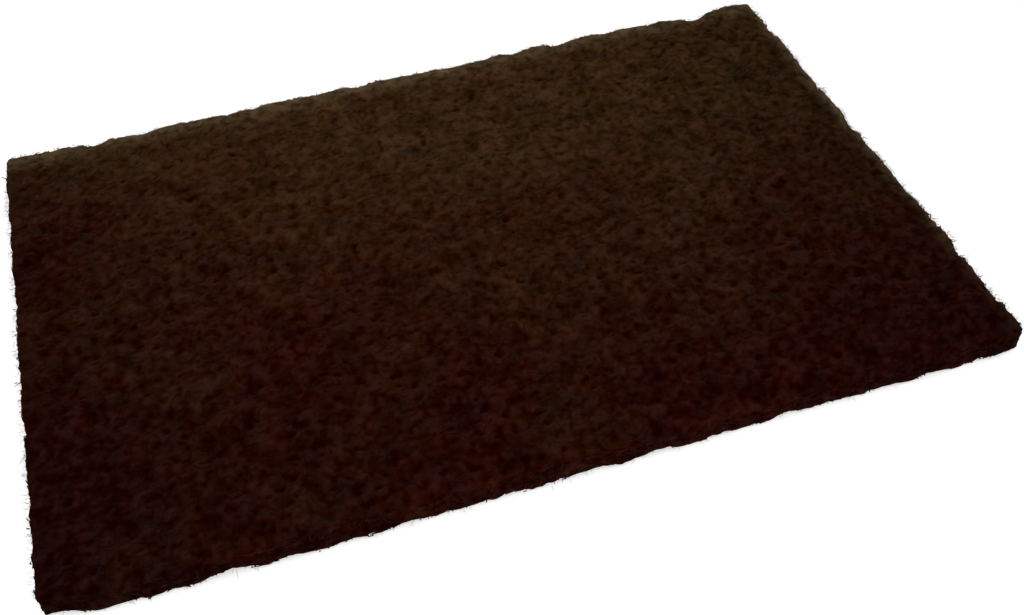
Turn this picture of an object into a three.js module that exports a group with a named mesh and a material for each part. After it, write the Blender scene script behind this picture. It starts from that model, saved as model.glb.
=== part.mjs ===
import * as THREE from "three";
import { mergeVertices } from "three/addons/utils/BufferGeometryUtils.js";

// A hand-size nylon scouring pad: one slab of lofted web with knife-cut edges.
// Millimetres, +Z up, origin in the middle of the face it lies on.

// Overall sizes
const padLength = 229;      // X, the long side
const padWidth = 152;       // Y, the short side
const padThickness = 8;     // Z, across the highest tufts of both faces

// Cut outline
const cornerRadius = 2.6;   // corners of the outline, as the blade leaves them
const edgeMargin = 0.35;    // the mean cut line lies this far inside the tallest tufts
const slowWander = 0.5;     // drift of a cut edge, the same through the thickness
const slowLength = 31;      // length of one drift
const frayDepth = 0.5;      // small raggedness of a cut edge, changing through the thickness
const frayLength = 7.0;     // length of one frayed tuft along the edge
const frayHeight = 5.0;     // and through the thickness
const edgeReach = 9;        // how far in from a cut edge its wander is felt
const farDentX = 95;        // the dent in the far edge
const farDentDepth = 2.0;
const farDentLength = 11;
const farTuftX = 15;        // the tuft that stands out of the far edge
const farTuftHeight = 1.2;
const farTuftLength = 8;
const easedCornerDepth = 2.6;   // the near left corner drawn in along the near edge
const easedCornerLength = 12;

// Loft of the two faces
const pitDepth = 1.05;      // hollows between the tufts
const pitLong = 10.5;       // spacing of the hollows along the pad, the way its strands lie
const pitAcross = 8.0;      // and across it
const swellDepth = 0.4;     // slow unevenness of the loft
const swellLength = 43;
const rimDrop = 0.8;        // how far the loft sinks at a cut edge
const rimWidth = 5.5;       // how far in from the edge it sinks

// Lattice the web is drawn on
const cellsLong = 60;
const cellsWide = 40;
const cellsThick = 3;
const cellJitter = 1.0;     // irregular spacing of the tufts on the two faces

const halfLength = padLength / 2;
const halfWidth = padWidth / 2;
const waveCount = 9;
const goldenAngle = 2.39996;

// Random-looking relief, about -1 to 1: plane waves of near equal length, each headed its own way
function wave(x, y, seed) {
  let sum = 0;
  for (let k = 0; k < waveCount; k += 1) {
    const heading = goldenAngle * k + 0.731 * seed;
    const pitch = 2 * Math.PI * (0.6 + 0.05 * k);
    const phase = 1.7 * seed * (k + 1) + 5.1 * k * k;
    sum += Math.sin(pitch * (x * Math.cos(heading) + y * Math.sin(heading)) + phase);
  }
  return sum / 4.6;
}

// A smooth hump of height 1 at zero, gone at one reach either side
function hump(distance, reach) {
  const share = Math.min(Math.abs(distance) / reach, 1);
  return (1 - share * share) ** 2;
}

// Distance inside the outline, taken from the nearer pair of edges
function depthInside(x, y) {
  return Math.min(halfLength - Math.abs(x), halfWidth - Math.abs(y));
}

// How far a cut edge is drawn in (+) or stands out (-), along its length and through the thickness
function edgeInset(along, z, seed) {
  const drift = slowWander * wave(along / slowLength, 0.3, seed);
  const fray = frayDepth * wave(along / frayLength, z / frayHeight, seed + 5);
  return edgeMargin + drift + fray;
}

// The named marks of the two long edges: dent and tuft far away, eased corner near by
function longEdgeMarks(x, side) {
  if (side > 0) {
    return farDentDepth * hump(x - farDentX, farDentLength)
      - farTuftHeight * hump(x - farTuftX, farTuftLength);
  }
  return easedCornerDepth * hump(x + halfLength, easedCornerLength);
}

// Depth of the loft below the highest tufts: hollows, swell and the sunk rim
function loftDepth(x, y, side) {
  const seed = side > 0 ? 11 : 23;
  const hollow = Math.max(0, wave(x / pitLong, y / pitAcross, seed) + 0.12);
  const swell = Math.max(0, wave(x / swellLength, y / swellLength, seed + 3) - 0.1);
  const rim = 1 - Math.min(Math.max(depthInside(x, y), 0) / rimWidth, 1);
  return pitDepth * hollow + swellDepth * swell + rimDrop * rim * rim;
}

// One point of the plain slab moved to its place on the web
function placeOnWeb(point) {
  const side = Math.sign(point.z) * (Math.abs(point.z) > padThickness / 2 - 0.01 ? 1 : 0);
  const level = point.z / (padThickness / 2);

  // Corners of the outline follow a quarter circle
  const cornerX = Math.abs(point.x) - (halfLength - cornerRadius);
  const cornerY = Math.abs(point.y) - (halfWidth - cornerRadius);
  const past = Math.hypot(Math.max(cornerX, 0), Math.max(cornerY, 0));
  const pull = cornerX > 0 && cornerY > 0 ? cornerRadius / Math.max(past, cornerRadius) : 1;
  const roundX = Math.sign(point.x) * (Math.abs(point.x) - Math.max(cornerX, 0) * (1 - pull));
  const roundY = Math.sign(point.y) * (Math.abs(point.y) - Math.max(cornerY, 0) * (1 - pull));

  // Tufts inside the outline are spaced unevenly
  const loose = side === 0 ? 0 : Math.min(depthInside(roundX, roundY) / 4, 1) * cellJitter;
  const x = roundX + loose * wave(roundX / 2.9, roundY / 3.1, 83 + side);
  const y = roundY + loose * wave(roundX / 3.1, roundY / 2.9, 97 + side);

  // Each edge's wander fades over the first cells inside it
  const sideX = Math.sign(x) || 1;
  const sideY = Math.sign(y) || 1;
  const nearX = Math.max(0, 1 - (halfLength - Math.abs(x)) / edgeReach);
  const nearY = Math.max(0, 1 - (halfWidth - Math.abs(y)) / edgeReach);
  const insetX = edgeInset(y, point.z, sideX > 0 ? 31 : 43);
  const insetY = edgeInset(x, point.z, sideY > 0 ? 57 : 71) + longEdgeMarks(x, sideY);

  // Both faces sink by the loft; the layers between them share what is left
  const top = padThickness / 2 - loftDepth(x, y, 1);
  const bottom = -padThickness / 2 + loftDepth(x, y, -1);
  const z = side > 0 ? top : side < 0 ? bottom : bottom + (top - bottom) * (level + 1) / 2;

  return new THREE.Vector3(
    x - sideX * insetX * nearX * nearX,
    y - sideY * insetY * nearY * nearY,
    z + padThickness / 2,
  );
}

// Folds every four-sided cell along the shorter of its two diagonals
function foldCells(web) {
  const position = web.attributes.position;
  const index = web.index.array;
  const from = new THREE.Vector3();
  const to = new THREE.Vector3();
  const gap = (a, b) => from.fromBufferAttribute(position, a).distanceTo(to.fromBufferAttribute(position, b));
  for (let i = 0; i < index.length; i += 6) {
    const [a, b, d, , c] = index.subarray(i, i + 6);
    if (gap(a, c) < gap(b, d)) {
      index.set([a, b, c, a, c, d], i);
    }
  }
}

function buildWeb() {
  const plain = new THREE.BoxGeometry(padLength, padWidth, padThickness, cellsLong, cellsWide, cellsThick);
  plain.deleteAttribute("normal");
  plain.deleteAttribute("uv");
  const web = mergeVertices(plain, 1e-4);
  const position = web.attributes.position;
  const point = new THREE.Vector3();
  for (let i = 0; i < position.count; i += 1) {
    point.fromBufferAttribute(position, i);
    const placed = placeOnWeb(point);
    position.setXYZ(i, placed.x, placed.y, placed.z);
  }
  foldCells(web);
  web.computeVertexNormals();
  return web;
}

const nylonWeb = new THREE.MeshStandardMaterial({
  name: "nylon_web",
  color: new THREE.Color().setRGB(0.034, 0.014, 0.006),
  roughness: 0.95,
  metalness: 0,
});

const pad = new THREE.Mesh(buildWeb(), nylonWeb);
pad.name = "scouring_pad";

const model = new THREE.Group();
model.name = "nylon_scouring_pad";
model.add(pad);

export default model;
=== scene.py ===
import math

import bpy
import numpy as np
from mathutils import Matrix, Vector


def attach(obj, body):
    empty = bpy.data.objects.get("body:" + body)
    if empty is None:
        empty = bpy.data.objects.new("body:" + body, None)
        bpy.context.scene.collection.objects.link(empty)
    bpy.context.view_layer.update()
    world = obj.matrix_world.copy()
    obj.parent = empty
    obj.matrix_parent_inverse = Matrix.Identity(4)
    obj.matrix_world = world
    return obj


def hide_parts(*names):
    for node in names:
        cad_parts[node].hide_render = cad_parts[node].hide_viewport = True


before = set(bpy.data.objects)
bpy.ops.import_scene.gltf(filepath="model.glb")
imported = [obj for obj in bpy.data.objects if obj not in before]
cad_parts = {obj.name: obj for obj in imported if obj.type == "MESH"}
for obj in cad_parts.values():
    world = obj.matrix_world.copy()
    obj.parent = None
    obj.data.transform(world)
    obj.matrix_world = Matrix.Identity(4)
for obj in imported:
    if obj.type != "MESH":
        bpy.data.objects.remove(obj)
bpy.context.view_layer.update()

mm = 0.001


# Short ways to make shader nodes


def maths(tree, operation, *values, clamp=False):
    # One Math node; a value is either a socket to link or a plain number
    node = tree.nodes.new("ShaderNodeMath")
    node.operation = operation
    node.use_clamp = clamp
    for place, value in enumerate(values):
        if isinstance(value, bpy.types.NodeSocket):
            tree.links.new(value, node.inputs[place])
        else:
            node.inputs[place].default_value = value
    return node.outputs[0]


def product(tree, first, *others):
    # All values multiplied, one after the other
    total = first
    for value in others:
        total = maths(tree, "MULTIPLY", total, value)
    return total


def vectors(tree, operation, first, second):
    # One Vector Math node for two linked values, the second of which is a plain factor when scaling
    node = tree.nodes.new("ShaderNodeVectorMath")
    node.operation = operation
    tree.links.new(first, node.inputs[0])
    tree.links.new(second, node.inputs["Scale" if operation == "SCALE" else 1])
    return node.outputs[0]


def spread(tree, value, fromLow, fromHigh, toLow, toHigh):
    # Straight line from one range to another, held at both ends
    node = tree.nodes.new("ShaderNodeMapRange")
    node.inputs["From Min"].default_value = fromLow
    node.inputs["From Max"].default_value = fromHigh
    node.inputs["To Min"].default_value = toLow
    node.inputs["To Max"].default_value = toHigh
    tree.links.new(value, node.inputs["Value"])
    return node.outputs[0]


def noiseAt(tree, place, cells, detail=1.0, distortion=0.0):
    # Noise between 0 and 1 with so many cells for each unit of the place
    node = tree.nodes.new("ShaderNodeTexNoise")
    node.inputs["Scale"].default_value = cells
    node.inputs["Detail"].default_value = detail
    node.inputs["Distortion"].default_value = distortion
    tree.links.new(place, node.inputs["Vector"])
    return node.outputs["Fac"]


# Camera, floor and light

viewSettings = {
    "place": (-58.79, -234.29, 226.99),   # mm from the middle of the pad's underside
    "heading": 16.378,                    # degrees right of +Y
    "dip": 45.554,                        # degrees below the horizon
    "roll": -2.432,                       # degrees about the way it looks
    "focalPixels": 1256.4,
    "photoWidth": 1024,                   # pixels
    "sensorWidth": 36.0,                  # mm
    "clip": (0.01, 20.0),                 # metres, nearest and farthest
}

lightSettings = {
    "floorReach": 6.0,                    # metres from the middle to each side
    "floorColour": (0.90, 0.90, 0.90),
    "floorRough": 0.9,
    "floorLift": 0.42,                    # what the camera sees on top of the lit floor
    "worldStrength": 0.70,
    "keyPower": 4.6,
    "keyPlace": (-0.12, -0.60, 0.85),     # metres, in front of the pad and above it
    "keySize": 1.2,
}


def makeCamera(s):
    # Forward from heading and dip; right is level, then both turn about forward by the roll
    yaw, dip, roll = (math.radians(s[k]) for k in ("heading", "dip", "roll"))
    forward = Vector((math.sin(yaw) * math.cos(dip), math.cos(yaw) * math.cos(dip), -math.sin(dip)))
    level = forward.cross(Vector((0, 0, 1))).normalized()
    upright = level.cross(forward)
    right = level * math.cos(roll) + upright * math.sin(roll)
    up = upright * math.cos(roll) - level * math.sin(roll)
    data = bpy.data.cameras.new("camera")
    data.sensor_width = s["sensorWidth"]
    data.lens = s["sensorWidth"] * s["focalPixels"] / s["photoWidth"]
    data.clip_start, data.clip_end = s["clip"]
    camera = bpy.data.objects.new("camera", data)
    bpy.context.scene.collection.objects.link(camera)
    turn = Matrix((right, up, -forward)).transposed().to_4x4()
    camera.matrix_world = Matrix.Translation(Vector(s["place"]) * mm) @ turn
    bpy.context.scene.camera = camera


def seenDirectly(tree):
    # 1 for a ray straight from the camera, a mirror or glass, and 0 for the light that falls on things
    path = tree.nodes.new("ShaderNodeLightPath")
    first = maths(tree, "ADD", path.outputs["Is Camera Ray"], path.outputs["Is Glossy Ray"])
    return maths(tree, "ADD", first, path.outputs["Is Transmission Ray"], clamp=True)


def makeFloor(s):
    # A square that gives light of its own only where it is seen directly, so that it keeps the pad's shadow
    reach = s["floorReach"]
    corners = [(-reach, -reach, 0), (reach, -reach, 0), (reach, reach, 0), (-reach, reach, 0)]
    mesh = bpy.data.meshes.new("floor")
    mesh.from_pydata(corners, [], [(0, 1, 2, 3)])
    floor = bpy.data.objects.new("floor", mesh)
    bpy.context.scene.collection.objects.link(floor)
    material = bpy.data.materials.new("whiteTable")
    material.use_nodes = True
    tree = material.node_tree
    shader = tree.nodes["Principled BSDF"]
    shader.inputs["Base Color"].default_value = (*s["floorColour"], 1)
    shader.inputs["Roughness"].default_value = s["floorRough"]
    shader.inputs["Specular IOR Level"].default_value = 0.0
    shader.inputs["Emission Color"].default_value = (1, 1, 1, 1)
    lift = maths(tree, "MULTIPLY", seenDirectly(tree), s["floorLift"])
    tree.links.new(lift, shader.inputs["Emission Strength"])
    mesh.materials.append(material)


def makeWorld(s):
    # White where it is seen directly, and weaker as a light
    world = bpy.data.worlds.new("studio")
    bpy.context.scene.world = world
    world.use_nodes = True
    tree = world.node_tree
    background = tree.nodes["Background"]
    background.inputs["Color"].default_value = (1, 1, 1, 1)
    strength = spread(tree, seenDirectly(tree), 0.0, 1.0, s["worldStrength"], 1.0)
    tree.links.new(strength, background.inputs["Strength"])


def makeLamp(s):
    # A round soft light, turned from its place towards the middle of the pad
    data = bpy.data.lights.new("softBox", "AREA")
    data.shape = "DISK"
    data.size = s["keySize"]
    data.energy = s["keyPower"]
    lamp = bpy.data.objects.new("softBox", data)
    lamp.location = s["keyPlace"]
    lamp.rotation_euler = (-Vector(s["keyPlace"])).to_track_quat("-Z", "Y").to_euler()
    bpy.context.scene.collection.objects.link(lamp)


bpy.context.scene.view_settings.view_transform = "Standard"
makeCamera(viewSettings)
makeFloor(lightSettings)
makeWorld(lightSettings)
makeLamp(lightSettings)
print("camera, floor and light made")


# The web's form, in millimetres, as the slab is cut

waveForm = {
    "count": 9,
    "turn": 2.39996,          # golden angle between one heading and the next, in radians
    "seedTurn": 0.731,        # radians that every heading turns for each seed
    "pitch": (0.6, 0.05),     # waves to a unit of length for the first one, and what each next one adds
    "shift": (1.7, 5.1),      # phase by seed and by order
    "scale": 4.6,             # brings the sum to about -1 to 1
}

webForm = {
    "length": 229.0,
    "width": 152.0,
    "thickness": 8.0,
    "cornerRadius": 2.6,
    "edgeMargin": {"far": -0.6, "near": -0.34, "left": -0.24, "right": -0.52},   # minus is outwards
    "slowWander": 0.4,
    "slowLength": 31.0,
    "slowLine": 0.3,                      # the line through the slow wave that the edges follow
    "frayDepth": {"far": 0.5, "near": 0.3, "left": 0.25, "right": 0.4},
    "frayLength": 7.0,
    "frayHeight": 5.0,
    "edgeReach": 9.0,                     # how far in from a cut its wandering is felt
    "edgeSeeds": {"far": 57, "near": 71, "left": 43, "right": 31},
    "farDent": (95.0, 2.0, 11.0),         # place, depth and half width along the far edge
    "farTuft": (15.0, 1.2, 8.0),          # place, height and half width
    "easedLeft": (2.6, 12.0),             # depth and reach at the left near corner, off the near edge
    "easedRight": (1.1, 14.0),            # and at the right near corner, off the right edge
    "pitDepth": 1.05,
    "pitLong": 10.5,
    "pitAcross": 8.0,
    "pitLift": 0.12,                      # what is added to the wave of the hollows
    "swellDepth": 0.4,
    "swellLength": 43.0,
    "swellLevel": 0.1,                    # what is taken off the wave of the swell
    "rimDrop": 0.55,
    "rimWidth": 5.5,
    "faceSeeds": {1: 11, -1: 23},         # top and underside
}
halfLength = webForm["length"] / 2
halfWidth = webForm["width"] / 2
halfThick = webForm["thickness"] / 2


def wave(x, y, seed, w=waveForm):
    # Plane waves of near equal length, each headed a golden angle from the last, added, over the scale
    firstPitch, pitchStep = w["pitch"]
    seedShift, orderShift = w["shift"]
    total = 0
    for k in range(w["count"]):
        heading = w["turn"] * k + w["seedTurn"] * seed
        pitch = 2 * math.pi * (firstPitch + pitchStep * k)
        phase = seedShift * seed * (k + 1) + orderShift * k * k
        total = total + np.sin(pitch * (x * math.cos(heading) + y * math.sin(heading)) + phase)
    return total / w["scale"]


def hump(distance, reach):
    # (1 - (distance / reach) squared) squared, and nothing past the reach
    share = np.minimum(np.abs(distance) / reach, 1)
    return (1 - share * share) ** 2


def loftDepth(x, y, side, f=webForm):
    # Hollows where the wave with its lift is above 0, a slow swell where its own wave is above its level,
    # and a rim that sinks as the square of its nearness to the cut
    seed = f["faceSeeds"][side]
    hollow = np.maximum(0, wave(x / f["pitLong"], y / f["pitAcross"], seed) + f["pitLift"])
    swell = np.maximum(0, wave(x / f["swellLength"], y / f["swellLength"], seed + 3) - f["swellLevel"])
    inside = np.minimum(halfLength - np.abs(x), halfWidth - np.abs(y))
    rim = 1 - np.clip(inside / f["rimWidth"], 0, 1)
    return f["pitDepth"] * hollow + f["swellDepth"] * swell + f["rimDrop"] * rim * rim


def edgeInset(along, z, edge, f=webForm):
    # A margin, a slow drift along the edge, and fray that also changes through the thickness
    seed = f["edgeSeeds"][edge]
    drift = f["slowWander"] * wave(along / f["slowLength"], f["slowLine"], seed)
    fray = f["frayDepth"][edge] * wave(along / f["frayLength"], z / f["frayHeight"], seed + 5)
    return f["edgeMargin"][edge] + drift + fray


def carryOntoWeb(points, f=webForm):
    # A point of the plain slab, centred on zero, moved to its place: corners drawn onto a quarter circle,
    # edges moved in by their inset where they are near, and height shared out between the sunk underside and
    # the sunk top
    x, y, z = points[..., 0], points[..., 1], points[..., 2]
    cornerX = np.maximum(np.abs(x) - (halfLength - f["cornerRadius"]), 0)
    cornerY = np.maximum(np.abs(y) - (halfWidth - f["cornerRadius"]), 0)
    past = np.hypot(cornerX, cornerY)
    inCorner = (cornerX > 0) & (cornerY > 0)
    pull = np.where(inCorner, f["cornerRadius"] / np.maximum(past, f["cornerRadius"]), 1)
    x = np.sign(x) * (np.abs(x) - cornerX * (1 - pull))
    y = np.sign(y) * (np.abs(y) - cornerY * (1 - pull))

    sideX = np.where(x < 0, -1.0, 1.0)
    sideY = np.where(y < 0, -1.0, 1.0)
    nearX = np.clip(1 - (halfLength - np.abs(x)) / f["edgeReach"], 0, 1) ** 2
    nearY = np.clip(1 - (halfWidth - np.abs(y)) / f["edgeReach"], 0, 1) ** 2
    dentPlace, dentDepth, dentReach = f["farDent"]
    tuftPlace, tuftHeight, tuftReach = f["farTuft"]
    leftDepth, leftReach = f["easedLeft"]
    rightDepth, rightReach = f["easedRight"]
    farMarks = dentDepth * hump(x - dentPlace, dentReach) - tuftHeight * hump(x - tuftPlace, tuftReach)
    nearMarks = leftDepth * hump(x + halfLength, leftReach)
    rightMarks = rightDepth * hump(y + halfWidth, rightReach)
    insetX = np.where(sideX > 0, edgeInset(y, z, "right") + rightMarks, edgeInset(y, z, "left"))
    insetY = np.where(sideY > 0, edgeInset(x, z, "far") + farMarks, edgeInset(x, z, "near") + nearMarks)

    top = halfThick - loftDepth(x, y, 1)
    bottom = -halfThick + loftDepth(x, y, -1)
    height = bottom + (top - bottom) * (z / halfThick + 1) / 2
    return np.stack([x - sideX * insetX * nearX, y - sideY * insetY * nearY, height + halfThick], -1)


def meshFrom(name, points, *faceSets):
    # Face sets are whole arrays of corner numbers, three or four to a row
    mesh = bpy.data.meshes.new(name)
    corners = np.concatenate([np.asarray(faces).ravel() for faces in faceSets]).astype(np.int32)
    sizes = np.concatenate([np.full(len(faces), faces.shape[1]) for faces in faceSets]).astype(np.int32)
    starts = (np.cumsum(sizes) - sizes).astype(np.int32)
    mesh.vertices.add(len(points))
    mesh.vertices.foreach_set("co", (np.asarray(points) * mm).astype(np.float32).ravel())
    mesh.loops.add(len(corners))
    mesh.loops.foreach_set("vertex_index", corners)
    mesh.polygons.add(len(sizes))
    mesh.polygons.foreach_set("loop_start", starts)
    mesh.update(calc_edges=True)
    mesh.polygons.foreach_set("use_smooth", np.ones(len(sizes), bool))
    mesh.update()
    piece = bpy.data.objects.new(name, mesh)
    bpy.context.scene.collection.objects.link(piece)
    return piece


def giveValues(piece, name, values):
    # One plain number for each point, under the given name
    attribute = piece.data.attributes.new(name, "FLOAT", "POINT")
    attribute.data.foreach_set("value", values.astype(np.float32).ravel())


# The body of the web: a closed slab, pitted all over

bodySettings = {
    "cells": (248, 165, 7),          # along the length, the width and the thickness
    "sunk": 0.10,                    # mm below the outer strands
    "inside": {"far": 0.35, "near": 0.15, "left": 0.15, "right": 0.3},   # mm behind those of each cut face
    "pitDepth": 0.75,
    "pitLong": 3.3,
    "pitAcross": 2.5,
    "pitLevel": 0.15,                # what is taken off the pit wave
    "pitSeeds": {1: 3, -1: 8},       # top and underside
    "grainDepth": 0.16,
    "grainLength": 1.9,
    "grainRise": 3.0,                # mm of height that shift the grain by one unit
    "grainSeed": 14,
    "sideDepth": 0.35,
    "sidePitHeight": 2.2,
    "sidePitSeed": 19,
    "atSide": 0.9999,                # share of the way out past which a point lies on that side
}


def boxLattice(cells):
    # Every side of a box as a grid of unit cells; corners that fall together are numbered once
    count = np.array(cells)
    found = []
    for axis in range(3):
        u, v = (axis + 1) % 3, (axis + 2) % 3
        iu, iv = np.meshgrid(np.arange(count[u]), np.arange(count[v]), indexing="ij")
        for high in (0, 1):
            steps = ((0, 0), (1, 0), (1, 1), (0, 1)) if high else ((0, 0), (0, 1), (1, 1), (1, 0))
            corners = np.zeros((iu.size, 4, 3), int)
            corners[:, :, axis] = high * count[axis]
            for place, (du, dv) in enumerate(steps):
                corners[:, place, u] = iu.ravel() + du
                corners[:, place, v] = iv.ravel() + dv
            found.append(corners)
    corners = np.concatenate(found)
    keys = (corners[..., 0] * (count[1] + 1) + corners[..., 1]) * (count[2] + 1) + corners[..., 2]
    unique, first, inverse = np.unique(keys.ravel(), return_index=True, return_inverse=True)
    return corners.reshape(-1, 3)[first], inverse.reshape(-1, 4)


def makeBody(s):
    # Slab points drawn in along their way out: on the faces by the sunk depth, pits and grain, on the cut
    # sides by side pits and grain
    lattice, faces = boxLattice(s["cells"])
    share = lattice / np.array(s["cells"]) * 2 - 1
    high = np.array([halfLength - s["inside"]["right"], halfWidth - s["inside"]["far"], halfThick])
    low = np.array([s["inside"]["left"] - halfLength, s["inside"]["near"] - halfWidth, -halfThick])
    plain = (high + low) / 2 + share * (high - low) / 2
    x, y, z = plain.T
    out = np.where(np.abs(share) > s["atSide"], np.sign(share), 0)
    out = out / np.linalg.norm(out, axis=1, keepdims=True)
    onFace = np.abs(out[:, 2])
    topPits = wave(x / s["pitLong"], y / s["pitAcross"], s["pitSeeds"][1])
    underPits = wave(x / s["pitLong"], y / s["pitAcross"], s["pitSeeds"][-1])
    pits = np.maximum(0, np.where(z > 0, topPits, underPits) - s["pitLevel"])
    grain = wave(x / s["grainLength"] + z / s["grainRise"], y / s["grainLength"], s["grainSeed"])
    along = np.where(np.abs(share[:, 0]) > s["atSide"], y, x)
    sidePits = np.maximum(0, wave(along / s["pitAcross"], z / s["sidePitHeight"], s["sidePitSeed"]))
    faceDepth = s["sunk"] + s["pitDepth"] * pits + s["grainDepth"] * (grain + 1) / 2
    sideDepth = s["sideDepth"] * sidePits + s["grainDepth"] * (grain + 1) / 2
    depth = faceDepth * onFace + sideDepth * (1 - onFace)
    piece = meshFrom("padWeb", carryOntoWeb(plain - out * depth[:, None]), faces)
    # The hollow values darken the colour in the dye group, as painted shade in the pits
    giveValues(piece, "hollow", pits * onFace + sidePits * (1 - onFace))
    return piece


body = makeBody(bodySettings)
print("web body made:", len(body.data.polygons), "faces")


# Strands: long crimped fibres laid in the plain slab, then carried onto the web

strandSettings = {
    "diameter": (0.22, 0.42),      # mm, thin to thick
    "length": (7.0, 15.0),
    "stations": 12,
    "bend": 0.14,                  # radians per mm
    "swing": (0.7, 1.5),           # crimp, in radians
    "crimp": (4.0, 7.5),           # length of one crimp
    "lean": 0.22,                  # how strongly headings turn to the long way of the pad
    "gather": 0.5,                 # how strongly strands are drawn off the pits
    "drape": 0.5,                  # mm that a strand dips over a pit
    "lift": 0.1,                   # mm that it weaves up and down
    "liftLength": (4, 9),          # length of one such weave
    "flat": 0.42,                  # height against width, as matted strands are
    "overhang": (-0.9, 0.05),      # mm that a cut end stops short or stands out
}
curledSettings = {**strandSettings, "length": (4.5, 9.0), "swing": (1.0, 2.0), "crimp": (3.0, 5.5)}

tubeForm = {
    "sides": 3,
    "taperSpan": (0.12, 0.88),     # share of half a turn at the first and at the last station
    "taperPower": 0.35,
}


def gatherOntoRidges(a, b, seed, gather, pits=bodySettings):
    # Moves points down the slope of the pit wave, so that strands lie between the pits; returns the wave too
    fine = 0.05     # mm between the two places that a slope is taken from
    pitLong, pitAcross = pits["pitLong"], pits["pitAcross"]
    here = wave(a / pitLong, b / pitAcross, seed)
    slopeA = (wave((a + fine) / pitLong, b / pitAcross, seed) - here) / fine
    slopeB = (wave(a / pitLong, (b + fine) / pitAcross, seed) - here) / fine
    return a - gather * slopeA, b - gather * slopeB, here


def crimpedPaths(rng, a0, b0, heading, s, dense=40):
    # Heading is its start plus bend times length plus a sine crimp; position is the running sum of steps
    n = len(a0)
    length = rng.uniform(*s["length"], n)[:, None]
    along = np.linspace(0, 1, dense)[None, :] * length
    swing = rng.uniform(*s["swing"], n)[:, None]
    crimp = rng.uniform(*s["crimp"], n)[:, None]
    phase = rng.uniform(0, 2 * math.pi, n)[:, None]
    bend = rng.normal(0, s["bend"], n)[:, None]
    angle = heading[:, None] + bend * along + swing * np.sin(2 * math.pi * along / crimp + phase)
    step = length / (dense - 1)
    a = a0[:, None] + np.cumsum(np.cos(angle) * step, 1)
    b = b0[:, None] + np.cumsum(np.sin(angle) * step, 1)
    return a, b, along, phase


def cutToLimits(values, limitA, limitB, stations):
    # Each strand keeps its run up to the first point past the limits, spread again over the given stations;
    # the first two values are the place that the limits hold for, and the others are cut with them
    a, b = values[:2]
    outside = (np.abs(a) > limitA[:, None]) | (np.abs(b) > limitB[:, None])
    last = np.where(outside.any(1), outside.argmax(1), a.shape[1] - 1)
    at = np.linspace(0, 1, stations)[None, :] * np.maximum(last, 2)[:, None]
    low = np.minimum(at.astype(int), a.shape[1] - 2)
    share = at - low
    before = [np.take_along_axis(v, low, 1) for v in values]
    after = [np.take_along_axis(v, low + 1, 1) for v in values]
    return [first * (1 - share) + second * share for first, second in zip(before, after)]


def tubes(name, centre, radius, outward, rng, hollow=None, flat=1.0, t=tubeForm):
    # A three sided profile carried along each path, square to it and flattened towards its face, with both
    # ends closed; its radius falls towards the ends as a power of a sine
    n, stations = centre.shape[:2]
    sides = t["sides"]
    ahead = np.gradient(centre, axis=1)
    ahead /= np.maximum(np.linalg.norm(ahead, axis=2, keepdims=True), 1e-9)
    across = np.cross(ahead, outward)
    across /= np.maximum(np.linalg.norm(across, axis=2, keepdims=True), 1e-9)
    above = np.cross(across, ahead) * flat
    taper = np.sin(np.linspace(*t["taperSpan"], stations) * math.pi) ** t["taperPower"]
    reach = radius[:, None, None] * taper[None, :, None]
    turn = rng.uniform(0, 2 * math.pi, n)[:, None, None]
    angles = [turn + k for k in np.arange(sides) * 2 * math.pi / sides]
    rings = [centre + reach * (np.cos(angle) * across + np.sin(angle) * above) for angle in angles]
    points = np.stack(rings, 2).reshape(-1, 3)

    base = (np.arange(n) * stations * sides)[:, None, None]
    here = base + (np.arange(stations - 1) * sides)[None, :, None]
    there = here + sides
    k = np.arange(sides)[None, None, :]
    after = (k + 1) % sides
    quads = np.stack([here + k, there + k, there + after, here + after], -1).reshape(-1, 4)
    start = base[:, 0] + np.arange(sides)[None]
    end = base[:, 0] + (stations - 1) * sides + np.arange(sides)[None, ::-1]
    piece = meshFrom(name, points, quads, np.concatenate([start, end]))

    giveValues(piece, "strandTone", np.repeat(rng.uniform(0, 1, n), stations * sides))
    # The hollow values darken the colour in the dye group, as painted shade in the pits
    giveValues(piece, "hollow", np.repeat(np.zeros((n, stations)) if hollow is None else hollow, sides))
    ways = np.repeat(outward.reshape(-1, 3), sides, axis=0).astype(np.float32)
    piece.data.attributes.new("wayOut", "FLOAT_VECTOR", "POINT").data.foreach_set("vector", ways.ravel())
    return piece


def faceStrands(name, count, side, depths, seed, s=strandSettings):
    # Crimped paths in a layer under one face, gathered between its pits; their depth is a random one within
    # the layer, plus a weave and a dip over each pit
    rng = np.random.default_rng(seed)
    a0 = rng.uniform(-halfLength, halfLength, count)
    b0 = rng.uniform(-halfWidth, halfWidth, count)
    heading = rng.uniform(0, 2 * math.pi, count)
    heading = heading - s["lean"] * np.sin(2 * heading)
    a, b, along, phase = crimpedPaths(rng, a0, b0, heading, s)
    a, b, pits = gatherOntoRidges(a, b, bodySettings["pitSeeds"][side], s["gather"])
    layer = rng.uniform(*depths, count)[:, None]
    liftLength = rng.uniform(*s["liftLength"], count)[:, None]
    lift = s["lift"] * np.sin(2 * math.pi * along / liftLength + phase * 2)
    pits = np.maximum(0, pits - bodySettings["pitLevel"])
    c = layer + lift + s["drape"] * pits
    over = rng.uniform(*s["overhang"], (2, count))
    a, b, c, pits = cutToLimits((a, b, c, pits), halfLength + over[0], halfWidth + over[1], s["stations"])
    radius = rng.uniform(*s["diameter"], count) / 2
    c = np.maximum(c, radius[:, None] * s["flat"])
    centre = carryOntoWeb(np.stack([a, b, side * (halfThick - c)], -1))
    outward = np.zeros_like(centre) + (0, 0, side)
    return tubes(name, centre, radius, outward, rng, pits, s["flat"])


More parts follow.
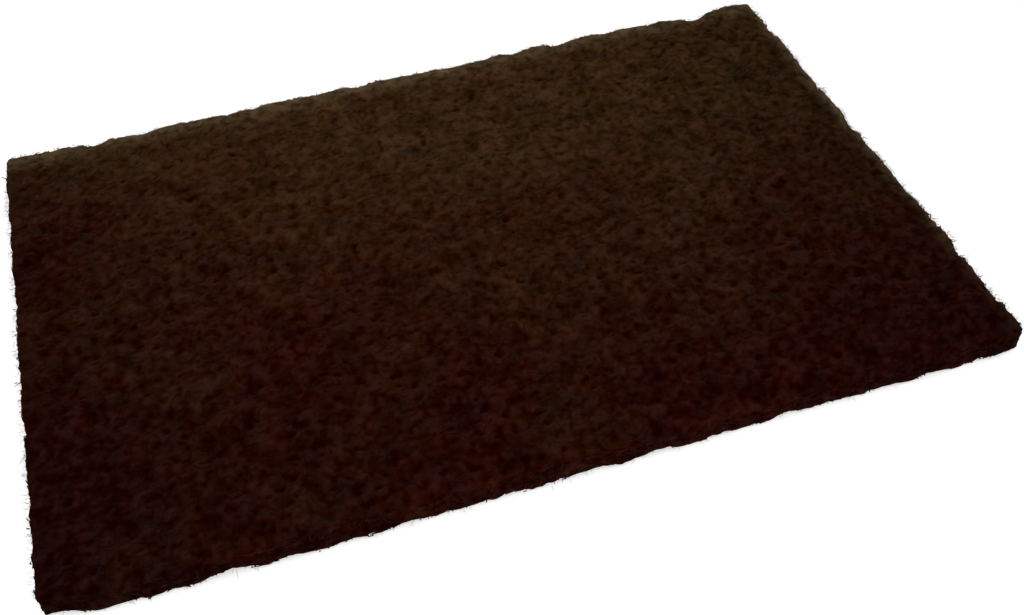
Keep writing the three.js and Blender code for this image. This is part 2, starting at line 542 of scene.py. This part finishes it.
topStrands = [
    faceStrands("topStrandsDeep", count=2700, side=1, depths=(0.16, 0.32), seed=101),
    faceStrands("topStrandsMiddle", count=2700, side=1, depths=(0.12, 0.28), seed=102, s=curledSettings),
    faceStrands("topStrandsHigh", count=2600, side=1, depths=(0.09, 0.22), seed=103),
]
underStrands = faceStrands("underStrands", count=800, side=-1, depths=(0.07, 0.35), seed=104)
print("face strands made")


edgeStrandSettings = {
    **strandSettings,
    "count": 3200,
    "length": (3.0, 11.0),
    "stations": 6,
    "crimp": (3.0, 7.0),
    "tightShare": 0.42,            # share of the strands on the near and the left face, the tighter ones
    "tightLayer": 0.4,             # mm of depth that they lie in
    "looseLayer": 0.6,             # and those of the far and the right face
    "skin": 0.08,                  # mm from the cut face to the layer
    "startHeight": 0.95,           # share of half the thickness that strands start within
    "stray": 0.6,                  # radians off the way along the cut
    "weave": 0.12,                 # mm that a strand weaves in and out
    "weaveLength": (3, 7),
    "gaps": (0.2, 0.15),           # mm kept free at the ends of a cut, and at its top and bottom
}


def edgeStrands(name, seed, s=edgeStrandSettings):
    # Crimped paths in the plane of each cut face, along the cut and through the thickness; their depth
    # behind the face is the skin, a random one within the layer, and a weave
    rng = np.random.default_rng(seed)
    count = s["count"]
    longShare = halfLength / (halfLength + halfWidth)
    onLong = rng.uniform(0, 1, count) < longShare
    sign = np.where(rng.uniform(0, 1, count) < s["tightShare"], -1.0, 1.0)
    layer = np.where(sign > 0, s["looseLayer"], s["tightLayer"])
    limit = np.where(onLong, halfLength, halfWidth)
    a0 = rng.uniform(-1, 1, count) * limit
    b0 = rng.uniform(-s["startHeight"], s["startHeight"], count) * halfThick
    heading = rng.choice([0, math.pi], count) + rng.normal(0, s["stray"], count)
    a, b, along, phase = crimpedPaths(rng, a0, b0, heading, s)
    weaveLength = rng.uniform(*s["weaveLength"], count)[:, None]
    weave = s["weave"] * np.sin(2 * math.pi * along / weaveLength + phase * 2)
    c = s["skin"] + (rng.uniform(0, 1, count) * layer)[:, None] + weave
    endGap, faceGap = s["gaps"]
    a, b, c = cutToLimits((a, b, c), limit - endGap, np.full(count, halfThick - faceGap), s["stations"])
    onLong, sign = onLong[:, None], sign[:, None]
    x = np.where(onLong, a, sign * (halfLength - c))
    y = np.where(onLong, sign * (halfWidth - c), a)
    centre = carryOntoWeb(np.stack([x, y, b], -1))
    radius = rng.uniform(*s["diameter"], count) / 2
    centre[..., 2] = np.maximum(centre[..., 2], radius[:, None])
    outward = np.zeros_like(centre)
    outward[..., 0] = np.where(onLong, 0, sign)
    outward[..., 1] = np.where(onLong, sign, 0)
    return tubes(name, centre, radius, outward, rng)


edge = edgeStrands("edgeStrands", seed=105)
print("edge strands made")


# Fringe: short cut ends that stand out of the four cut faces, thickest on the far and the right one

fringeSettings = {
    "diameter": (0.05, 0.09),
    "length": (0.8, 1.8),
    "stations": 3,
    "root": (0.3, 0.9),            # mm inside the cut face where an end starts
    "spread": 0.9,                 # radians either side of straight out
    "curl": 0.5,                   # radians per mm
    "rise": 0.35,                  # climb or fall for each mm of length
    "sink": (0.9, 1.5),            # powers of the beta law for how far down from the top an end starts
    "endGap": 0.5,                 # mm kept free at the ends of a cut
    "lowest": 0.25,                # mm above the underside
    "highest": 0.1,                # mm above the top
    "counts": {"far": 3900, "right": 2500, "near": 900, "left": 600},
}


def fringeStrands(name, seed, s=fringeSettings):
    # Heading is its start plus curl times length; outward and sideways places are running sums of its cosine
    # and sine, and height changes evenly along the strand
    rng = np.random.default_rng(seed)
    ways = {"far": (0, 1), "right": (1, 0), "near": (0, -1), "left": (-1, 0)}
    edges = np.repeat(np.array([ways[edge] for edge in s["counts"]]), list(s["counts"].values()), axis=0)
    count = len(edges)
    limit = np.where(edges[:, 0] == 0, halfLength, halfWidth)
    face = np.where(edges[:, 0] == 0, halfWidth, halfLength)
    along0 = rng.uniform(-1, 1, count) * (limit - s["endGap"])
    height0 = halfThick * (1 - 2 * rng.beta(*s["sink"], count))
    length = rng.uniform(*s["length"], count)[:, None]
    step = length / (s["stations"] - 1)
    run = np.linspace(0, 1, s["stations"])[None, :] * length
    heading = rng.normal(0, s["spread"], count)[:, None] + rng.normal(0, s["curl"], count)[:, None] * run
    out = face[:, None] - rng.uniform(*s["root"], count)[:, None] + np.cumsum(np.cos(heading) * step, 1)
    side = along0[:, None] + np.cumsum(np.sin(heading) * step, 1)
    height = height0[:, None] + rng.normal(0, s["rise"], count)[:, None] * run
    height = np.clip(height, s["lowest"] - halfThick, halfThick + s["highest"])
    wayX, wayY = edges[:, :1], edges[:, 1:]
    x = wayX * out + np.abs(wayY) * side
    y = wayY * out + np.abs(wayX) * side
    centre = carryOntoWeb(np.stack([x, y, height], -1))
    radius = rng.uniform(*s["diameter"], count) / 2
    centre[..., 2] = np.maximum(centre[..., 2], radius[:, None])
    return tubes(name, centre, radius, np.zeros_like(centre) + (0, 0, 1), rng)


fringe = fringeStrands("fringe", seed=106)
print("fringe made")


# Node groups: matted fibres, dye with painted light and shade, and the soft normal of a strand

feltSettings = {
    "wander": 0.0016,          # metres that a fibre strays
    "wanderCells": 260.0,      # noise cells per metre of the straying
    "long": 210.0,             # noise cells per metre along a fibre
    "thin": 2300.0,            # across it
    "deep": 1380.0,            # and through the thickness
    "turns": ((0.2, 0.1, 0.15), (-0.15, 0.2, 1.15), (0.1, -0.25, -0.95)),   # how each layer of fibres lies
    "lineReach": 0.11,         # how far off one half the noise is where a line has faded out
}


def nodeGroupOf(name, inputs, outputs):
    # An empty group with its named sockets; returns it with its input and its output node
    group = bpy.data.node_groups.new(name, "ShaderNodeTree")
    for title, kind, value in inputs:
        socket = group.interface.new_socket(name=title, in_out="INPUT", socket_type=kind)
        socket.default_value = value
    for title, kind in outputs:
        group.interface.new_socket(name=title, in_out="OUTPUT", socket_type=kind)
    return group, group.nodes.new("NodeGroupInput"), group.nodes.new("NodeGroupOutput")


def makeFeltGroup(s):
    # Matted fibres: layers of noise stretched along different ways and bent by a slow noise. Each layer is
    # bright along the thin line where its noise passes one half; the felt is the brightest of them.
    group, _, result = nodeGroupOf("mattedFibres", [], [("Felt", "NodeSocketFloat")])
    nodes, links = group.nodes, group.links
    place = nodes.new("ShaderNodeTexCoord").outputs["Object"]
    stray = nodes.new("ShaderNodeTexNoise")
    stray.inputs["Scale"].default_value = s["wanderCells"]
    stray.inputs["Detail"].default_value = 1.0
    links.new(place, stray.inputs["Vector"])
    centred = nodes.new("ShaderNodeVectorMath")
    centred.operation = "SUBTRACT"
    centred.inputs[1].default_value = (0.5, 0.5, 0.5)
    links.new(stray.outputs["Color"], centred.inputs[0])
    bent = nodes.new("ShaderNodeVectorMath")
    bent.operation = "MULTIPLY_ADD"
    bent.inputs[1].default_value = (s["wander"] * 2,) * 3
    links.new(centred.outputs[0], bent.inputs[0])
    links.new(place, bent.inputs[2])
    felt = None
    for turn in s["turns"]:
        lay = nodes.new("ShaderNodeMapping")
        lay.vector_type = "TEXTURE"
        lay.inputs["Rotation"].default_value = turn
        lay.inputs["Scale"].default_value = (1 / s["long"], 1 / s["thin"], 1 / s["deep"])
        links.new(bent.outputs[0], lay.inputs["Vector"])
        off = maths(group, "ABSOLUTE", maths(group, "SUBTRACT", noiseAt(group, lay.outputs[0], 1.0), 0.5))
        line = spread(group, off, 0.0, s["lineReach"], 1.0, 0.0)
        felt = line if felt is None else maths(group, "MAXIMUM", felt, line)
    links.new(felt, result.inputs["Felt"])
    return group


# Here u and v are the shares of half the length and half the width. Four numbers are a range and what it
# becomes; patches of noise have their cells per metre, detail and distortion before it.
dyeAndLightSettings = {
    "mottle": (26.0, 2.0, 0.0, 0.25, 0.75, 0.22, 0.78),      # patches of olive
    "oliveByV": (0.72, 0.54, 0.31),           # olive also rises by v times (first + second u + third v); towards the far cut this is partly dye and partly a painted sheen
    "oliveByU": (0.25, -0.2),                 # and by u times (first + second u)
    "front": (-0.984, -1.0, 0.0, 1.0),        # the near cut, by v, where painted light is added
    "frontOlive": -0.3,
    # painted light on the near cut
    "frontPaintedLight": 0.33,
    "farRimGlow": (0.868, 1.0, 0.0, 1.0),         # painted rim glow on the loose far cut, by v
    "rightRimGlow": (0.961, 1.0, 0.0, 0.93),      # and on the loose right cut, by u
    "rightRimAlong": (-1.0, 0.0, 0.55, 1.0),  # and along it, by v
    "rimDown": (0.0015, 0.0065, 0.45, 1.0),   # and down the cuts, by the height in metres
    "fallByU": (0.87, -0.31),                 # lightness, first + second u squared, so darker towards both ends
    "paintedLightByV": 0.25,                          # times 1 + this v, painted light brighter towards the far cut
    "wide": (140.0, 1.0, 0.0, 0.3, 0.7, 0.73, 1.27),
    "tufts": (340.0, 1.0, 0.0, 0.3, 0.7, 0.72, 1.28),
    # noise pits of painted shade
    "pits": (420.0, 0.5, 0.3, 0.28, 0.48, 0.60, 1.0),
    # painted shade in the hollows: hollow 0 to 1 makes the colour 1.05 to 0.65 times as light
    "hollow": (0.0, 1.0, 1.05, 0.65),
    "tone": (4.0, 0.62, 0.88),                # power, share and base, so that few strands are much paler
    "shadeAndToneLevel": 0.9,                        # shade and tone at which no grey dust and sheen is added
    "darkest": (0.0006, 0.0002, 0.0001),
}


def patches(tree, place, cells, detail, distortion, *ranges):
    # Noise whose range is stretched to another, and held at both ends
    return spread(tree, noiseAt(tree, place, cells, detail, distortion), *ranges)


def makeDyeAndLightGroup(s):
    # Brown dye between red brown and olive brown, with painted light and shade in it. The share of olive is
    # the mottle plus a slope by v and by u, less on the near cut; its rise towards the far cut is partly a
    # painted sheen.
    # The shade and tone are tufts times painted shade in the hollows times painted shade in the noise pits
    # times the strand's tone; the lightness is these times wide patches times a fall towards both ends by u,
    # painted light rising towards the far cut by v, and painted light on the near cut. The colour is the dye
    # times the lightness, with grey dust and painted sheen added where the shade and tone are high and taken
    # off where they are low, and a painted khaki rim glow added by the shade and tone times the square of
    # the nearness to the loose far and right cuts, fading down them.
    group, given, result = nodeGroupOf(
        "brownDyeAndPaintedLight",
        [("Red Brown", "NodeSocketColor", (0.03, 0.01, 0.005, 1)),
         ("Olive Brown", "NodeSocketColor", (0.04, 0.02, 0.008, 1)),
         ("Grey Dust And Sheen", "NodeSocketVector", (0, 0, 0)),
         ("Painted Rim Khaki", "NodeSocketVector", (0, 0, 0)),
         ("Tone", "NodeSocketFloat", 0.65),
         ("Pit Shade", "NodeSocketFloat", 0.5),
         ("Hollow Shade", "NodeSocketFloat", 0.0)],
        [("Colour", "NodeSocketColor"), ("Light", "NodeSocketFloat")])
    links = group.links
    place = group.nodes.new("ShaderNodeTexCoord").outputs["Object"]
    apart = group.nodes.new("ShaderNodeSeparateXYZ")
    links.new(place, apart.inputs[0])
    u = maths(group, "MULTIPLY", apart.outputs["X"], 1 / (halfLength * mm))
    v = maths(group, "MULTIPLY", apart.outputs["Y"], 1 / (halfWidth * mm))
    front = spread(group, v, *s["front"])

    base, slopeU, slopeV = s["oliveByV"]
    slope = maths(group, "MULTIPLY_ADD", v, slopeV, maths(group, "MULTIPLY_ADD", u, slopeU, base))
    olive = maths(group, "MULTIPLY_ADD", v, slope, patches(group, place, *s["mottle"]))
    base, slopeU = s["oliveByU"]
    olive = maths(group, "MULTIPLY_ADD", u, maths(group, "MULTIPLY_ADD", u, slopeU, base), olive)
    olive = maths(group, "MULTIPLY_ADD", front, s["frontOlive"], olive, clamp=True)
    hue = group.nodes.new("ShaderNodeMix")
    hue.data_type = "RGBA"
    links.new(olive, hue.inputs[0])
    links.new(given.outputs["Red Brown"], hue.inputs[6])
    links.new(given.outputs["Olive Brown"], hue.inputs[7])

    # Painted shade: darker in the noise pits, by the Pit Shade share, and in the hollows of the mesh
    pits = maths(group, "SUBTRACT", patches(group, place, *s["pits"]), 1.0)
    paintedPitShade = maths(group, "MULTIPLY_ADD", pits, given.outputs["Pit Shade"], 1.0)
    power, share, base = s["tone"]
    toned = maths(group, "MULTIPLY_ADD", maths(group, "POWER", given.outputs["Tone"], power), share, base)
    hollow = spread(group, given.outputs["Hollow Shade"], *s["hollow"])
    shadeAndTone = product(group, patches(group, place, *s["tufts"]), hollow, paintedPitShade, toned)

    # Darker towards both ends by u, and painted light brighter towards the far cut by v
    base, slopeU = s["fallByU"]
    fallU = maths(group, "MULTIPLY_ADD", product(group, u, u), slopeU, base)
    paintedLightV = maths(group, "MULTIPLY_ADD", v, s["paintedLightByV"], 1.0)
    # Painted light on the near cut
    nearCutPaintedLight = maths(group, "MULTIPLY_ADD", front, s["frontPaintedLight"], 1.0)
    light = product(group, shadeAndTone, patches(group, place, *s["wide"]), fallU, paintedLightV, nearCutPaintedLight)

    # Painted rim glow: near the loose far and right cuts, fading down them
    rightRimGlow = product(group, spread(group, u, *s["rightRimGlow"]), spread(group, v, *s["rightRimAlong"]))
    rim = maths(group, "MAXIMUM", spread(group, v, *s["farRimGlow"]), rightRimGlow)
    rim = product(group, rim, spread(group, apart.outputs["Z"], *s["rimDown"]))

    dyedAndLit = vectors(group, "SCALE", hue.outputs[2], light)
    # Grey dust and painted sheen on the lighter parts, taken off the darker ones
    greyDustAndSheen = vectors(group, "SCALE", given.outputs["Grey Dust And Sheen"], maths(group, "SUBTRACT", shadeAndTone, s["shadeAndToneLevel"]))
    paintedRimKhaki = vectors(group, "SCALE", given.outputs["Painted Rim Khaki"], product(group, rim, rim, shadeAndTone))
    total = vectors(group, "ADD", vectors(group, "ADD", dyedAndLit, greyDustAndSheen), paintedRimKhaki)
    held = group.nodes.new("ShaderNodeVectorMath")
    held.operation = "MAXIMUM"
    held.inputs[1].default_value = s["darkest"]
    links.new(total, held.inputs[0])
    links.new(held.outputs[0], result.inputs["Colour"])
    links.new(light, result.inputs["Light"])
    return group


def makeSoftNormalGroup(share):
    # Normal of a matted strand: its own, leaning by a share towards the way out of the pad
    group, _, result = nodeGroupOf("softNormal", [], [("Normal", "NodeSocketVector")])
    own = group.nodes.new("ShaderNodeNewGeometry")
    wayOut = group.nodes.new("ShaderNodeAttribute")
    wayOut.attribute_name = "wayOut"
    lean = group.nodes.new("ShaderNodeMix")
    lean.data_type = "VECTOR"
    lean.inputs["Factor"].default_value = share
    group.links.new(own.outputs["Normal"], lean.inputs[4])
    group.links.new(wayOut.outputs["Vector"], lean.inputs[5])
    unit = group.nodes.new("ShaderNodeVectorMath")
    unit.operation = "NORMALIZE"
    group.links.new(lean.outputs[1], unit.inputs[0])
    group.links.new(unit.outputs[0], result.inputs["Normal"])
    return group


# Finishes

nylonSettings = {
    "glossTint": (1.0, 0.62, 0.38, 1),
    "sheenTint": (0.85, 0.62, 0.36, 1),
    "sheenRough": 0.45,
    # grey dust and painted sheen on the lighter parts
    "greyDustAndSheen": (0.0, 0.0056, 0.0073),
    # colour of the painted rim glow
    "paintedRimKhaki": (0.050, 0.041, 0.021),
    "softShare": 0.8,              # how far a strand's normal leans out of the pad
    "feltShade": (0.88, 1.08),     # colour between the matted fibres and on them
    "feltRelief": 0.25,            # their height against that of the dye's light patches
    "bodyBump": (0.0002, 0.4),     # distance in metres, and strength
    "strandBump": (0.00003, 0.4),
    "strandGrain": 2600.0,         # noise cells per metre
}
strandFinish = {
    "red": (0.027, 0.0038, 0.0017, 1),
    "olive": (0.037, 0.0165, 0.0058, 1),
    "rough": 0.75,
    "gloss": 0.012,
    "sheen": 0.0,
    "pits": 0.9,                   # how much the painted shade of the dye's small pits shows
}
bodyFinish = {
    "red": (0.026, 0.0036, 0.0016, 1),
    "olive": (0.035, 0.0155, 0.0055, 1),
    "rough": 0.9,
    "gloss": 0.01,
    "sheen": 0.02,
    "pits": 1.0,
}
# Paler than the strands: a painted glow of light through the thin cut ends
fringeFinish = {
    "red": (0.045, 0.016, 0.008, 1),
    "olive": (0.12, 0.075, 0.038, 1),
    "rough": 0.7,
    "gloss": 0.012,
    "sheen": 0.0,
    "pits": 0.0,
}

feltGroup = makeFeltGroup(feltSettings)
dyeAndLightGroup = makeDyeAndLightGroup(dyeAndLightSettings)
softNormalGroup = makeSoftNormalGroup(nylonSettings["softShare"])


def placeGroup(tree, group):
    # One group in a material, whose inputs are then set or linked
    node = tree.nodes.new("ShaderNodeGroup")
    node.node_tree = group
    return node


def attributeOf(tree, name):
    # The plain number that the mesh carries under a name
    node = tree.nodes.new("ShaderNodeAttribute")
    node.attribute_name = name
    return node.outputs["Fac"]


def makeNylon(name, finish, felted, s=nylonSettings):
    # Strands carry their own tone and a softened normal; the body has matted fibres in its colour and bump.
    # Both take the dye group's colour, with its painted light and shade
    material = bpy.data.materials.new(name)
    material.use_nodes = True
    tree = material.node_tree
    shader = tree.nodes["Principled BSDF"]
    shader.inputs["Specular IOR Level"].default_value = finish["gloss"]
    shader.inputs["Specular Tint"].default_value = s["glossTint"]
    shader.inputs["Roughness"].default_value = finish["rough"]
    shader.inputs["Sheen Weight"].default_value = finish["sheen"]
    shader.inputs["Sheen Roughness"].default_value = s["sheenRough"]
    shader.inputs["Sheen Tint"].default_value = s["sheenTint"]
    dyeAndLight = placeGroup(tree, dyeAndLightGroup)
    dyeAndLight.inputs["Red Brown"].default_value = finish["red"]
    dyeAndLight.inputs["Olive Brown"].default_value = finish["olive"]
    dyeAndLight.inputs["Pit Shade"].default_value = finish["pits"]
    dyeAndLight.inputs["Grey Dust And Sheen"].default_value = s["greyDustAndSheen"]
    dyeAndLight.inputs["Painted Rim Khaki"].default_value = s["paintedRimKhaki"]
    # Painted shade in the hollows
    tree.links.new(attributeOf(tree, "hollow"), dyeAndLight.inputs["Hollow Shade"])
    if felted:
        felt = placeGroup(tree, feltGroup).outputs["Felt"]
        colour = vectors(tree, "SCALE", dyeAndLight.outputs["Colour"], spread(tree, felt, 0.0, 1.0, *s["feltShade"]))
        height = maths(tree, "MULTIPLY_ADD", felt, s["feltRelief"], dyeAndLight.outputs["Light"])
    else:
        tree.links.new(attributeOf(tree, "strandTone"), dyeAndLight.inputs["Tone"])
        colour = dyeAndLight.outputs["Colour"]
        place = tree.nodes.new("ShaderNodeTexCoord").outputs["Object"]
        height = noiseAt(tree, place, s["strandGrain"], 2.0)
    tree.links.new(colour, shader.inputs["Base Color"])
    bump = tree.nodes.new("ShaderNodeBump")
    distance, strength = s["bodyBump"] if felted else s["strandBump"]
    bump.inputs["Distance"].default_value = distance
    bump.inputs["Strength"].default_value = strength
    tree.links.new(height, bump.inputs["Height"])
    if not felted:
        tree.links.new(placeGroup(tree, softNormalGroup).outputs["Normal"], bump.inputs["Normal"])
    tree.links.new(bump.outputs["Normal"], shader.inputs["Normal"])
    return material


strandNylon = makeNylon("strandNylon", strandFinish, felted=False)
fringeNylon = makeNylon("fringeNylon", fringeFinish, felted=False)
bodyNylon = makeNylon("bodyNylon", bodyFinish, felted=True)

for piece in [*topStrands, underStrands, edge, fringe]:
    piece.data.materials.append(fringeNylon if piece is fringe else strandNylon)
    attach(piece, "root")
body.data.materials.append(bodyNylon)
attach(body, "root")
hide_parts("scouring_pad")
print("materials given")
